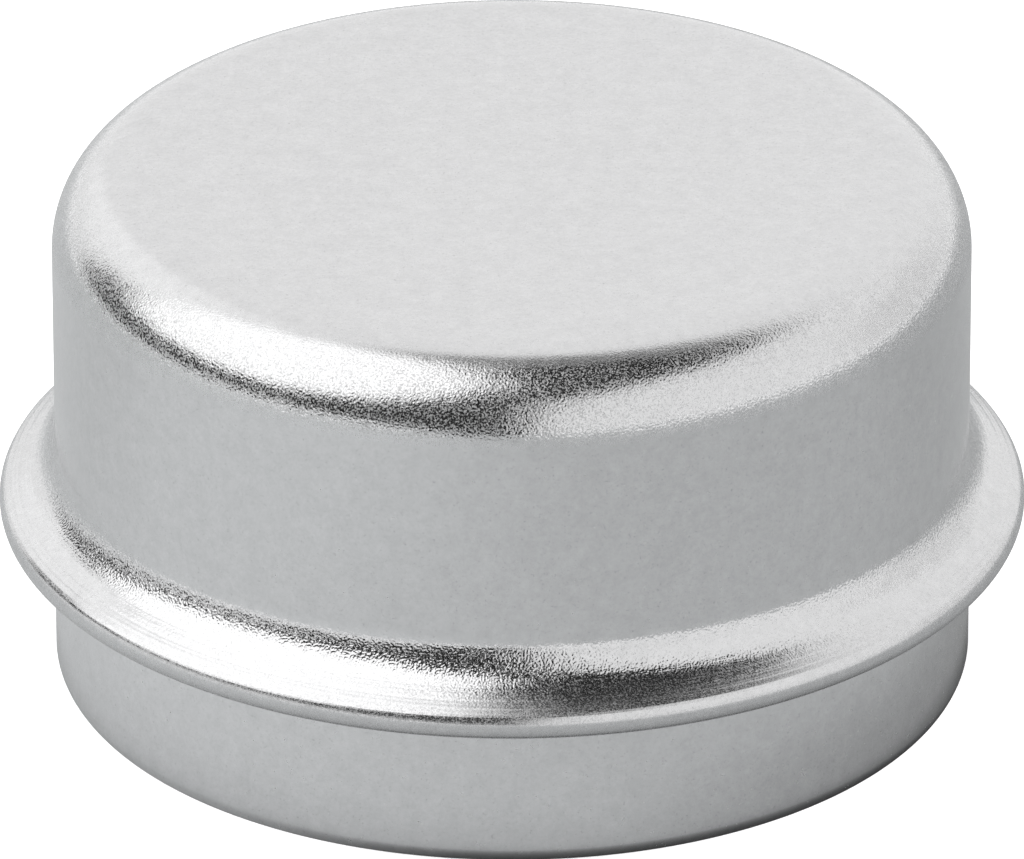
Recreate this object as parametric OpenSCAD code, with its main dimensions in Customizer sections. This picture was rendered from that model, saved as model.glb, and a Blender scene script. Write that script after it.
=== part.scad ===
// Press-fit grease cap for a wheel hub.
// One disc of steel sheet is drawn into a flat-topped cup, and its wall is folded out and back on itself
// to make the flange that stops the cap at the face of the hub. Below the flange the same wall runs on as
// the spigot that is pressed into the hub's bore. The cap is modelled standing on its open end.

/* [Sheet] */
// Thickness of the steel sheet, with its plating
sheet = 0.95; // [0.6:0.05:1.1]

/* [Body] */
// Height of the whole cap, from the foot to the top of the crown
overall_h = 32.3; // [28:0.1:60]
// How far the body's wall stands inside the spigot's, all round
body_inset = 0.1; // [0:0.05:1]
// Outside radius where the wall turns over into the flat crown
shoulder_r = 4.8; // [2:0.1:9]

/* [Flange] */
// How far the flange stands out from the spigot, all round
flange_reach = 3.3; // [2.2:0.1:6]
// How steeply the flange's upper layer falls towards the rim, in degrees
flange_fall = 30; // [15:1:40]
// Space left between the two layers where the fold turns them at the rim
fold_gap = 0.1; // [0.04:0.02:0.3]
// Radius of the hollow where the body runs out into the flange
root_r = 3.3; // [2:0.1:3.6]

/* [Spigot] */
// Outside diameter of the spigot, a press fit in the hub
spigot_d = 55.5; // [30:0.5:80]
// Length of the spigot, from the foot to the seat of the flange
spigot_h = 9.9; // [5:0.1:13]
// Radius of the hollow corner between the spigot and the seat
seat_r = 0.4; // [0.2:0.05:1]
// Radius that leads the end of the spigot into the bore
lead_r = 1.2; // [0.8:0.1:2]
// Width of the flat foot that is left inside that radius
foot_w = 0.35; // [0.2:0.05:0.6]

/* [Hidden] */
$fn = 144;
spigot_r = spigot_d / 2;
body_r = spigot_r - body_inset;
flange_r = spigot_r + flange_reach;
// Outside radius and middle of the fold at the rim, where the sheet turns back on itself
fold_r = sheet + fold_gap / 2;
fold_c = [flange_r - fold_r, spigot_h + fold_r];
// The direction that the flange's sloping top faces, and the point where that slope runs into the fold
top_n = [sin(flange_fall), cos(flange_fall)];
slope_end = fold_c + fold_r * top_n;
// The hollow takes most of the flange's width at the most, so that some of the slope is always left
slope_share = 0.95;
hollow_r = min(root_r, slope_share * (slope_end.x - body_r) / (1 - top_n.x));
// Middle of the hollow, which touches the body's wall and the slope
hollow_x = body_r + hollow_r;
hollow_c = [hollow_x, (top_n * slope_end + hollow_r - top_n.x * hollow_x) / top_n.y];
// Middle of the shoulder's bend, and of the corner between the seat and the spigot
shoulder_c = [body_r - shoulder_r, overall_h - shoulder_r];
seat_c = [spigot_r + seat_r, spigot_h - seat_r];
// How deep the lead-in cuts into the end of the sheet
lead_depth = min(sheet - foot_w, lead_r);
// How far a cutting shape reaches past the face that it cuts
past = 0.5;
// How far a slope is sunk into the curve that it runs into, so that the two always cross
sink = 0.0002;

// What comes off a square lower corner to round it with the radius r. The corner is at the origin, with the
// material above it and towards -X. The arc starts on the upright face and reaches the bottom one where it
// is depth deep in the material, so a depth less than r stops it short of a full quarter.
module corner_waste(r, depth) {
    height = sqrt(pow(r, 2) - pow(r - depth, 2));
    difference() {
        translate([-depth, -past]) square([depth + past, height + past]);
        translate([-r, height]) circle(r);
    }
}

// The three modules that follow fill a part of the cap's half section in to the axis, up to a face that lies
// this deep in the sheet: 0 for the outer face, and the whole thickness for the inner one.

// The flat crown, the shoulder and the straight wall
module body_fill(depth) {
    translate([0, spigot_h]) square([body_r - depth, shoulder_c.y - spigot_h]);
    translate([0, shoulder_c.y]) square([shoulder_c.x, shoulder_r - depth]);
    translate(shoulder_c)
    intersection() {
        circle(shoulder_r - depth);
        square(shoulder_r);
    }
}

// The slope that falls from the body to the rim, the fold that it ends in, and the hollow above it
module flange_fill(depth) {
    seat_z = spigot_h + depth;
    end = fold_c + (fold_r - depth - sink) * top_n;
    start_x = body_r - depth - past;
    start_z = end.y + (end.x - start_x) * tan(flange_fall);
    polygon([[0, seat_z], [fold_c.x, seat_z], fold_c, end, [start_x, start_z], [0, start_z]]);
    translate(fold_c)
    intersection() {
        circle(fold_r - depth);
        translate([0, -fold_r]) square(2 * fold_r);
    }
    difference() {
        polygon([hollow_c, [start_x, hollow_c.y], [start_x, seat_z],
            hollow_c - (hollow_r + depth + 4 * sink) * top_n]);
        translate(hollow_c) circle(hollow_r + depth + 2 * sink);
    }
}

// The spigot from the height foot_z up, and the corner between it and the seat
module spigot_fill(depth, foot_z) {
    translate([0, foot_z]) square([spigot_r - depth, spigot_h + depth - foot_z]);
    difference() {
        translate([spigot_r - depth, seat_c.y]) square(seat_r + depth);
        translate(seat_c) circle(seat_r + depth);
    }
}

// The whole cap, one sheet of even thickness, its lower edge led in towards a narrow foot
module grease_cap() {
    color([0.69, 0.69, 0.70])
    rotate_extrude()
    difference() {
        union() {
            body_fill(0);
            flange_fill(0);
            spigot_fill(0, 0);
        }
        body_fill(sheet);
        flange_fill(sheet);
        spigot_fill(sheet, -past);
        translate([spigot_r, 0]) corner_waste(lead_r, lead_depth);
    }
}

grease_cap();
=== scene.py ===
"""A pressed steel hub grease cap, bright zinc plated, standing on a pale table under soft studio light."""

import math

import bpy
from mathutils import Matrix, Vector


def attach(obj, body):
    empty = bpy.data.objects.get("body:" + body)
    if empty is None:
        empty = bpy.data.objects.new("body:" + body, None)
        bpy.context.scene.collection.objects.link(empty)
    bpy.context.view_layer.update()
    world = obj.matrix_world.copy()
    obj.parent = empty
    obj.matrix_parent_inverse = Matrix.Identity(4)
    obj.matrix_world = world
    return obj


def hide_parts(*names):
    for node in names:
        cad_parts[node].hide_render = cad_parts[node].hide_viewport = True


MM = 0.001

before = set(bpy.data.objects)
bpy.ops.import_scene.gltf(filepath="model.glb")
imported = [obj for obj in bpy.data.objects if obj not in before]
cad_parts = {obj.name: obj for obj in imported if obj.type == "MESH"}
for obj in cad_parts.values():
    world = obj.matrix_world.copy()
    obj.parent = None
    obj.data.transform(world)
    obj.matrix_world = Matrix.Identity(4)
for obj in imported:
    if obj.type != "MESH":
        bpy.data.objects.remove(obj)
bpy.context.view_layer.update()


# The cap's sizes in millimetres, the same as in its source

SHEET = 0.95
OVERALL_H = 32.3
BODY_INSET = 0.1
SHOULDER_R = 4.8
FLANGE_REACH = 3.3
# How steeply the flange's upper layer falls, in degrees
FLANGE_FALL = 30
FOLD_GAP = 0.1
ROOT_R = 3.3
SPIGOT_D = 55.5
SPIGOT_H = 9.9
SEAT_R = 0.4
LEAD_R = 1.2
FOOT_W = 0.35

SPIGOT_R = SPIGOT_D / 2
BODY_R = SPIGOT_R - BODY_INSET
INSIDE_R = SPIGOT_R - SHEET
# How much the cut inner edge of the foot is broken, which only the render shows
EDGE_R = 0.1


# The lathe that turns the cap's section

SEGMENTS = 336


class Profile:
    """Stretches of a section, each a list of (r, z, normal_r, normal_z), with the metal on the right."""

    def __init__(self):
        self.stretches = []

    def line(self, start, end, pieces=1):
        dr, dz = end[0] - start[0], end[1] - start[1]
        length = math.hypot(dr, dz)
        normal = (-dz / length, dr / length)
        steps = [k / pieces for k in range(pieces + 1)]
        self.stretches.append([(start[0] + dr * t, start[1] + dz * t, *normal) for t in steps])

    def arc(self, centre, radius, start, end, pieces):
        """From one angle to another, in degrees. Clockwise arcs bulge out of the metal."""
        side = 1 if end < start else -1
        points = []
        for k in range(pieces + 1):
            angle = math.radians(start + (end - start) * k / pieces)
            c, s = math.cos(angle), math.sin(angle)
            points.append((centre[0] + radius * c, centre[1] + radius * s, side * c, side * s))
        self.stretches.append(points)


def at(centre, radius, angle):
    """The point of a circle at an angle in degrees."""
    a = math.radians(angle)
    return centre[0] + radius * math.cos(a), centre[1] + radius * math.sin(a)


# The middles of the section's bends, and the angle that the flange's slope faces

TOP_ANGLE = 90 - FLANGE_FALL
SHOULDER = (BODY_R - SHOULDER_R, OVERALL_H - SHOULDER_R)
SEAT = (SPIGOT_R + SEAT_R, SPIGOT_H - SEAT_R)
FOLD_R = SHEET + FOLD_GAP / 2
FOLD = (SPIGOT_R + FLANGE_REACH - FOLD_R, SPIGOT_H + FOLD_R)
LEAD_REACH = LEAD_R - (SHEET - FOOT_W)
LEAD = (SPIGOT_R - LEAD_R, math.sqrt(LEAD_R ** 2 - LEAD_REACH ** 2))


def hollow_middle():
    """The middle of the bend that touches the body's wall and the flange's slope."""
    slope_r, slope_z = at(FOLD, FOLD_R, TOP_ANGLE)
    nr, nz = at((0, 0), 1, TOP_ANGLE)
    r = BODY_R + ROOT_R
    return r, (nr * slope_r + nz * slope_z + ROOT_R - nr * r) / nz


ROOT = hollow_middle()


def outer_face(section):
    """From the middle of the crown to the foot."""
    root_angle = TOP_ANGLE + 180
    section.line((0.0, OVERALL_H), (SHOULDER[0], OVERALL_H), 12)
    section.arc(SHOULDER, SHOULDER_R, 90, 0, 26)
    section.line((BODY_R, SHOULDER[1]), (BODY_R, ROOT[1]), 6)
    section.arc(ROOT, ROOT_R, 180, root_angle, 20)
    section.line(at(ROOT, ROOT_R, root_angle), at(FOLD, FOLD_R, TOP_ANGLE), 4)
    section.arc(FOLD, FOLD_R, TOP_ANGLE, -90, 20)
    section.line((FOLD[0], SPIGOT_H), (SEAT[0], SPIGOT_H))
    section.arc(SEAT, SEAT_R, 90, 180, 6)
    section.line((SPIGOT_R, SEAT[1]), (SPIGOT_R, LEAD[1]), 4)
    section.arc(LEAD, LEAD_R, 0, -math.degrees(math.acos(LEAD_REACH / LEAD_R)), 10)


def foot(section):
    section.line((LEAD[0] + LEAD_REACH, 0.0), (INSIDE_R + EDGE_R, 0.0))
    section.arc((INSIDE_R + EDGE_R, EDGE_R), EDGE_R, -90, -180, 4)


def inner_face(section):
    """From the foot to the middle of the crown's underside, one sheet thickness inside the outer face."""
    root_angle = TOP_ANGLE + 180
    deep_root = ROOT_R + SHEET
    deep_fold = FOLD_R - SHEET
    section.line((INSIDE_R, EDGE_R), (INSIDE_R, SEAT[1]), 4)
    section.arc(SEAT, SEAT_R + SHEET, 180, 90, 8)
    section.line((SEAT[0], SPIGOT_H + SHEET), (FOLD[0], SPIGOT_H + SHEET))
    section.arc(FOLD, deep_fold, -90, TOP_ANGLE, 6)
    section.line(at(FOLD, deep_fold, TOP_ANGLE), at(ROOT, deep_root, root_angle))
    section.arc(ROOT, deep_root, root_angle, 180, 14)
    section.line((BODY_R - SHEET, ROOT[1]), (BODY_R - SHEET, SHOULDER[1]), 6)
    section.arc(SHOULDER, SHOULDER_R - SHEET, 0, 90, 18)
    section.line((SHOULDER[0], OVERALL_H - SHEET), (0.0, OVERALL_H - SHEET), 8)


def cap_profile():
    section = Profile()
    outer_face(section)
    foot(section)
    inner_face(section)
    return section


def turn(name, section):
    """The section turned round the Z axis, with the exact normals of its arcs at the corners of the faces."""
    verts, faces, normals = [], [], []
    spokes = [(math.cos(a), math.sin(a)) for a in (2 * math.pi * k / SEGMENTS for k in range(SEGMENTS))]

    def ring(r, z):
        first = len(verts)
        if r < 1e-9:
            verts.append((0.0, 0.0, z * MM))
            return [first] * SEGMENTS
        verts.extend((r * c * MM, r * s * MM, z * MM) for c, s in spokes)
        return list(range(first, first + SEGMENTS))

    last = ring(*section.stretches[0][0][:2])
    for stretch in section.stretches:
        for a, b in zip(stretch, stretch[1:]):
            this = ring(*b[:2])
            for k in range(SEGMENTS):
                n = (k + 1) % SEGMENTS
                corners = [(last[k], k, a), (this[k], k, b), (this[n], n, b), (last[n], n, a)]
                kept = [c for i, c in enumerate(corners) if c[0] != corners[i - 1][0]]
                faces.append([c[0] for c in kept])
                normals.extend((p[2] * spokes[j][0], p[2] * spokes[j][1], p[3]) for _, j, p in kept)
            last = this
    mesh = bpy.data.meshes.new(name)
    mesh.from_pydata(verts, [], faces)
    mesh.shade_smooth()
    mesh.normals_split_custom_set(normals)
    mesh.validate()
    obj = bpy.data.objects.new(name, mesh)
    bpy.context.scene.collection.objects.link(obj)
    return obj


# Materials

WHITE = (1.0, 1.0, 1.0, 1.0)
BLACK = (0.0, 0.0, 0.0, 1.0)


class Graph:
    """Short forms for building a material's nodes."""

    def __init__(self, name):
        self.material = bpy.data.materials.new(name)
        self.material.use_nodes = True
        self.tree = self.material.node_tree
        self.tree.nodes.clear()

    def node(self, kind, settings=None, **inputs):
        made = self.tree.nodes.new(kind)
        for key, value in (settings or {}).items():
            setattr(made, key, value)
        for key, value in inputs.items():
            self.feed(made.inputs[key.replace("_", " ")], value)
        return made

    def feed(self, socket, value):
        if isinstance(value, bpy.types.NodeSocket):
            self.tree.links.new(value, socket)
        else:
            socket.default_value = value

    def math(self, operation, a, b=0.0):
        made = self.node("ShaderNodeMath", {"operation": operation})
        self.feed(made.inputs[0], a)
        self.feed(made.inputs[1], b)
        return made.outputs[0]

    def add(self, a, b):
        return self.math("ADD", a, b)

    def times(self, a, b):
        return self.math("MULTIPLY", a, b)

    def scaled(self, vector, factor):
        made = self.node("ShaderNodeVectorMath", {"operation": "SCALE"}, Scale=factor)
        self.feed(made.inputs[0], vector)
        return made.outputs["Vector"]

    def blend(self, factor, low, high):
        """A colour between two, by a factor from 0 to 1."""
        made = self.node("ShaderNodeMix", {"data_type": "RGBA"}, Factor=factor)
        made.inputs[6].default_value = low
        made.inputs[7].default_value = high
        return made.outputs[2]

    def noise(self, where, scale, detail=2.0, roughness=0.5):
        return self.node("ShaderNodeTexNoise", Vector=where, Scale=scale, Detail=detail,
                         Roughness=roughness).outputs["Fac"]

    def remap(self, value, low, high, to_low, to_high, smooth=False):
        made = self.node("ShaderNodeMapRange", {"interpolation_type": "SMOOTHSTEP" if smooth else "LINEAR"})
        for key, number in zip(("From Min", "From Max", "To Min", "To Max"), (low, high, to_low, to_high)):
            made.inputs[key].default_value = number
        self.feed(made.inputs["Value"], value)
        return made.outputs["Result"]

    def curve(self, value, stops):
        """Straight lines between (place, level) stops, both from 0 to 1."""
        ramp = self.node("ShaderNodeValToRGB")
        elements = ramp.color_ramp.elements
        while len(elements) < len(stops):
            elements.new(0.5)
        for element, (place, level) in zip(elements, stops):
            element.position = place
            element.color = (level, level, level, 1.0)
        self.feed(ramp.inputs["Fac"], value)
        return ramp.outputs["Color"]

    def glow(self, strength):
        return self.node("ShaderNodeEmission", Color=WHITE, Strength=strength).outputs["Emission"]

    def matt(self, colour):
        return self.node("ShaderNodeBsdfDiffuse", Color=colour).outputs["BSDF"]

    def both(self, first, second):
        made = self.node("ShaderNodeAddShader")
        self.feed(made.inputs[0], first)
        self.feed(made.inputs[1], second)
        return made.outputs["Shader"]

    def output(self, shader):
        self.node("ShaderNodeOutputMaterial", Surface=shader)
        return self.material


# What the sheet's surface is like at each height of the cap, in millimetres from the foot. The bends have
# orange peel, and the straight walls were ironed smooth by the die.
PEEL = [(0.0, 0.05), (9.6, 0.05), (10.4, 0.15), (11.8, 0.1), (12.7, 0.35), (13.3, 0.9), (13.7, 1.0),
        (14.2, 0.9), (14.6, 0.4), (15.1, 0.05), (27.4, 0.05), (28.2, 0.5), (31.6, 0.5), (32.2, 0.1),
        (32.3, 0.05)]
# How rough the smooth parts of its finish are. The hollow over the flange was burnished by the folding tool.
SATIN = [(0.0, 0.2), (9.6, 0.2), (10.4, 0.22), (11.4, 0.2), (11.8, 0.23), (12.2, 0.17), (12.5, 0.13),
         (13.0, 0.09), (14.6, 0.1), (15.5, 0.19), (27.5, 0.18), (28.2, 0.12), (31.6, 0.13), (32.3, 0.22)]
# How much it is speckled with duller dots.
SPECKLE = [(0.0, 0.0), (9.6, 0.1), (10.4, 0.5), (11.5, 0.5), (11.9, 0.35), (13.0, 0.6), (14.2, 0.7),
           (14.6, 0.5), (15.3, 0.0), (27.5, 0.0), (28.2, 1.0), (31.5, 1.0), (32.2, 0.0)]
# How much the metal's colour is darkened at each height. This is painted shade: the rounded under side of the
# fold darkens towards the seat, darkest in a line at the seat.
FOLD_SHADE = [(0.0, 1.0), (9.8, 1.0), (9.9, 0.5), (10.1, 0.58), (10.5, 0.7), (10.9, 0.88), (11.4, 1.0),
         (32.3, 1.0)]
# Where the folding tool left fine rings.
RINGS = [(0.0, 0.0), (11.3, 0.0), (11.7, 1.0), (12.6, 1.0), (13.2, 0.0), (32.3, 0.0)]

# How deep the surface's relief goes, in metres
GRAIN_DEPTH = 0.03 * MM
DIMPLE_DEPTH = 0.022 * MM
WAVE_DEPTH = 0.02 * MM
RING_DEPTH = 0.075 * MM
# The zinc's darker and paler clouds
DARK_ZINC = (0.64, 0.64, 0.645, 1.0)
PALE_ZINC = (0.75, 0.75, 0.755, 1.0)


# In the three functions that follow, the scale of a noise is how many of its spots there are to a millimetre.

def zinc_relief(g, mm, height, peel, ringed):
    """Grains and dimples on the bends, slow waves all over, and rings on the flange's slope."""
    grains = g.noise(mm, 7.5, detail=0.0)
    dimples = g.noise(mm, 1.3, detail=1.0)
    waves = g.noise(mm, 0.16)
    rings = g.noise(g.node("ShaderNodeCombineXYZ", Z=height).outputs["Vector"], 3.2, roughness=0.6)
    relief = g.times(g.add(g.times(grains, GRAIN_DEPTH), g.times(dimples, DIMPLE_DEPTH)), peel)
    relief = g.add(relief, g.times(waves, WAVE_DEPTH))
    relief = g.add(relief, g.times(g.times(rings, ringed), RING_DEPTH))
    return g.node("ShaderNodeBump", Height=relief, Distance=1.0, Strength=1.0).outputs["Normal"]


def zinc_roughness(g, mm, mottle, satin, speckle):
    """The finish at this height, a little mottled, with rare duller specks and the pits of the bends."""
    specks = g.noise(mm, 2.4, roughness=0.7)
    pits = g.noise(mm, 9.0, detail=1.0, roughness=0.6)
    rough = g.add(satin, g.remap(mottle, 0.3, 0.7, -0.02, 0.03))
    rough = g.add(rough, g.remap(specks, 0.62, 0.8, 0.0, 0.12))
    return g.add(rough, g.times(g.remap(pits, 0.45, 0.64, 0.0, 0.38), speckle))


def zinc_colour(g, mm, mottle, fold_shade):
    """Cloudy zinc with small dark and pale dots, darkened by the painted shade under the fold."""
    blotches = g.noise(mm, 1.1, detail=3.0, roughness=0.6)
    flecks = g.noise(mm, 3.6, roughness=0.6)
    dots = g.noise(mm, 6.0, roughness=0.7)
    cloudy = g.add(g.remap(blotches, 0.3, 0.7, 0.0, 0.35), g.remap(mottle, 0.3, 0.7, 0.0, 0.25))
    cloudy = g.add(cloudy, g.remap(flecks, 0.3, 0.7, 0.0, 0.4))
    marked = g.add(g.remap(dots, 0.62, 0.74, 1.0, 0.78), g.remap(dots, 0.26, 0.36, 0.07, 0.0))
    # The painted shade under the fold multiplies the colour here.
    return g.scaled(g.blend(cloudy, DARK_ZINC, PALE_ZINC), g.times(fold_shade, marked))


def zinc_plate():
    g = Graph("zinc_plate")
    mm = g.scaled(g.node("ShaderNodeTexCoord").outputs["Object"], 1 / MM)
    height = g.node("ShaderNodeSeparateXYZ", Vector=mm).outputs["Z"]
    share = g.math("DIVIDE", height, OVERALL_H)
    # Each table becomes a curve by height. The fold's table is painted shade for the colour; the others set
    # relief and finish.
    peel, satin, speckle, fold_shade, ringed = (g.curve(share, [(z / OVERALL_H, level) for z, level in table])
                                           for table in (PEEL, SATIN, SPECKLE, FOLD_SHADE, RINGS))
    mottle = g.noise(mm, 0.55, detail=4.0, roughness=0.65)
    metal = g.node("ShaderNodeBsdfPrincipled", Metallic=1.0,
                   Base_Color=zinc_colour(g, mm, mottle, fold_shade),
                   Roughness=zinc_roughness(g, mm, mottle, satin, speckle),
                   Normal=zinc_relief(g, mm, height, peel, ringed))
    return g.output(metal.outputs["BSDF"])


TABLE_COLOUR = (0.9, 0.9, 0.9, 1.0)
TABLE_GLOW = 0.6


def table_material():
    """Pale and matt, with a little light of its own in direct and mirrored view. It is clear from below."""
    g = Graph("table")
    rays = g.node("ShaderNodeLightPath").outputs
    seen = g.math("MAXIMUM", rays["Is Camera Ray"],
                  g.math("MAXIMUM", rays["Is Glossy Ray"], rays["Is Transmission Ray"]))
    lit = g.both(g.matt(TABLE_COLOUR), g.glow(g.times(seen, TABLE_GLOW)))
    clear = g.node("ShaderNodeBsdfTransparent").outputs["BSDF"]
    sides = g.node("ShaderNodeMixShader", Fac=g.node("ShaderNodeNewGeometry").outputs["Backfacing"])
    g.feed(sides.inputs[1], lit)
    g.feed(sides.inputs[2], clear)
    return g.output(sides.outputs["Shader"])


def matt_material(name, level):
    g = Graph(name)
    return g.output(g.matt((level, level, level, 1.0)))


def glow_material(name, level):
    g = Graph(name)
    return g.output(g.glow(level))


CARD_GLOW = 0.15
CARD_WHITE = (0.975, 1.0, 1.01, 1.0)


def ground_material():
    """Grey card with light and shade painted into its colour. It is darker towards the right as painted shade
    from lamps on the left, darker towards the back, and paler near the cap as painted light.
    It has a painted soft shadow of the cap at its right foot and round its edge, which also dims the card's
    glow there. The places in it are in metres."""
    g = Graph("ground_card")
    place = g.node("ShaderNodeTexCoord").outputs["Object"]
    x, y, _ = g.node("ShaderNodeSeparateXYZ", Vector=place).outputs
    length = g.node("ShaderNodeVectorMath", {"operation": "LENGTH"})
    g.feed(length.inputs[0], place)
    reach = length.outputs["Value"]
    # Painted light and shade: paler on the left under the lamps, darker on the right, paler near the cap,
    # darker towards the back.
    across = g.remap(x, -0.06, 0.03, 0.53, 0.395, smooth=True)
    pale_ring = g.remap(reach, 0.030, 0.055, 1.26, 1.0, smooth=True)
    to_back = g.remap(y, -0.02, 0.02, 1.0, 0.85, smooth=True)
    # Painted shadow of the cap, at its right foot and all round its edge.
    foot_shade = g.times(g.remap(x, 0.005, 0.032, 0.0, 0.42, smooth=True),
                         g.remap(reach, 0.029, 0.042, 1.0, 0.0, smooth=True))
    edge_shade = g.times(g.remap(reach, 0.0272, 0.0300, 1.0, 0.0, smooth=True),
                         g.remap(x, -0.022, 0.0, 0.25, 0.85, smooth=True))
    contact = g.math("SUBTRACT", 1.0, edge_shade)
    shade = g.times(g.times(across, pale_ring), to_back)
    shade = g.times(g.times(shade, g.math("SUBTRACT", 1.0, foot_shade)), contact)
    paper = g.matt(g.blend(shade, BLACK, CARD_WHITE))
    return g.output(g.both(paper, g.glow(g.times(contact, CARD_GLOW))))


# The studio. The cards and lamps stand round the point MIDDLE, out of the camera's sight. Screens are curved
# round it and list (azimuth, lowest, highest) in degrees, and flat cards list (x, y) in millimetres.

MIDDLE = Vector((0.0, 0.0, 0.015))
CARD_HEIGHT = 165.0
TABLE_HALF = 3.0

SOFTBOX = [(-146, 70, 86), (-140, 60, 88), (-126, 48, 88), (-118, 36, 88), (-110, 22, 88), (-104, 15, 88),
           (-14, 15, 88)]
FILL = [(-158, 14, 55), (-128, 12, 45)]
PALE_CARD = [(92, 1, 30), (135, 1, 28)]
FLAG_FRONT = [(-127, 1, 12), (-123, 2, 34), (-119, 3, 29), (-114, 5, 22.5), (-107, 6, 18.5), (-97, 6, 17.5),
              (-86, 6.5, 17.5), (-76, 6.5, 18), (-67, 7, 19), (-60, 7, 20.5), (-51, 7.5, 24),
              (-41, 7.5, 28.5), (-31, 7.5, 34.5), (-22, 8, 44), (-12, 9, 55), (-5, 9, 62), (1, 9, 66),
              (3, 9, 66), (5, 32, 62), (10, 41, 62), (18, 48, 62)]
FLAG_STRIP = [(-116, 4.5, 9), (-83, 5, 10), (-64, 6.5, 12), (-36, 7, 13), (-20, 5.5, 13), (-12, 2.5, 13),
              (3, 2, 13)]
FLAG_TOP = [(-4, -61), (2, -76), (14, -110), (46, -139), (58, -114), (70, -97), (77, -80), (84, -65),
            (92, -50), (97, -35), (101, -20), (102, -4), (102, 14), (45, 3), (-15, -8), (-11, -23),
            (-11, -32), (-9, -52)]
FLAG_BACK = [(102, 14), (90, 26), (74, 33), (62, 42), (45, 42), (30, 44), (15, 42), (0, 42), (-15, 45),
             (-33, 50), (-26, 25), (-17, -2), (-15, -8), (45, 3)]


def direction(azimuth, elevation):
    """Azimuth 0 is towards the camera's side, -Y, and 90 is +X. Both in degrees."""
    a, e = math.radians(azimuth), math.radians(elevation)
    return Vector((math.sin(a) * math.cos(e), -math.cos(a) * math.cos(e), math.sin(e)))


def stage_mesh(name, verts, faces, material):
    mesh = bpy.data.meshes.new(name)
    mesh.from_pydata(verts, [], faces)
    mesh.materials.append(material)
    obj = bpy.data.objects.new(name, mesh)
    bpy.context.scene.collection.objects.link(obj)
    return obj


def screen(name, outline, distance, material):
    steps, rows = 8, 8
    verts = []
    for a, b in zip(outline, outline[1:]):
        for i in range(steps + 1):
            azimuth, low, high = (p + (q - p) * i / steps for p, q in zip(a, b))
            heights = [low + (high - low) * j / rows for j in range(rows + 1)]
            verts += [MIDDLE + distance * direction(azimuth, height) for height in heights]
    columns = len(verts) // (rows + 1)
    faces = []
    for i in range(columns - 1):
        for j in range(rows):
            k = i * (rows + 1) + j
            faces.append((k, k + rows + 1, k + rows + 2, k + 1))
    obj = stage_mesh(name, verts, faces, material)
    obj.visible_camera = False
    return obj


def flat_card(name, outline, material):
    verts = [(x * MM, y * MM, CARD_HEIGHT * MM) for x, y in outline]
    obj = stage_mesh(name, verts, [tuple(range(len(outline)))], material)
    obj.visible_camera = False
    return obj


def ground_card():
    """A grey card on the table that only the metal shows. It starts under the sheet's edge, so that the
    inside of the cap sees the pale table."""
    columns, lift, radius = 60, 0.0002, 0.60
    verts = []
    for i in range(columns + 1):
        out = direction(360 * i / columns, 0.0)
        verts += [out * r + Vector((0.0, 0.0, lift)) for r in (INSIDE_R * MM, radius)]
    faces = [(2 * i, 2 * i + 1, 2 * i + 3, 2 * i + 2) for i in range(columns)]
    obj = stage_mesh("ground_card", verts, faces, ground_material())
    obj.visible_camera = False
    obj.visible_diffuse = False
    obj.visible_shadow = False


def table():
    h = TABLE_HALF
    stage_mesh("table", [(-h, -h, 0), (h, -h, 0), (h, h, 0), (-h, h, 0)], [(0, 1, 2, 3)], table_material())


def lamps():
    screen("softbox", SOFTBOX, 0.64, glow_material("softbox", 1.55))
    screen("fill", FILL, 0.68, glow_material("fill", 1.15))
    screen("pale_card", PALE_CARD, 0.66, matt_material("pale_card", 0.88))


def flags():
    """Dark cards that shade the metal and leave the table's light as it is."""
    black = matt_material("black_card", 0.03)
    cards = [screen("flag_front", FLAG_FRONT, 0.6, black), screen("flag_strip", FLAG_STRIP, 0.16, black),
             flat_card("flag_top", FLAG_TOP, black),
             flat_card("flag_back", FLAG_BACK, matt_material("grey_card", 0.27))]
    for card in cards:
        card.visible_diffuse = False


def room():
    world = bpy.data.worlds.new("room")
    world.use_nodes = True
    background = world.node_tree.nodes["Background"]
    background.inputs["Color"].default_value = WHITE
    background.inputs["Strength"].default_value = 1.0
    bpy.context.scene.world = world


# The camera, as fitted to the photo's outline of the cap. Angles in degrees.

CAMERA_DISTANCE = 0.9312
CAMERA_ELEVATION = 26.994
CAMERA_AIM = Vector((0.0, 0.0, 0.0149))
CAMERA_ROLL = -0.08
CAMERA_LENS = 541.3


def camera():
    data = bpy.data.cameras.new("camera")
    data.sensor_width = 36.0
    data.lens = CAMERA_LENS
    data.clip_start = 0.05
    data.clip_end = 20.0
    obj = bpy.data.objects.new("camera", data)
    bpy.context.scene.collection.objects.link(obj)
    obj.location = CAMERA_AIM + CAMERA_DISTANCE * direction(0.0, CAMERA_ELEVATION)
    tilt = Matrix.Rotation(math.radians(90.0 - CAMERA_ELEVATION), 4, "X")
    roll = Matrix.Rotation(math.radians(CAMERA_ROLL), 4, "Z")
    obj.rotation_euler = (tilt @ roll).to_euler()
    bpy.context.scene.camera = obj


cap = turn("cap_visual", cap_profile())
cap.data.materials.append(zinc_plate())
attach(cap, "root")
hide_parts("grease_cap")

table()
lamps()
flags()
ground_card()
room()
camera()

bpy.context.scene.view_settings.view_transform = "Standard"
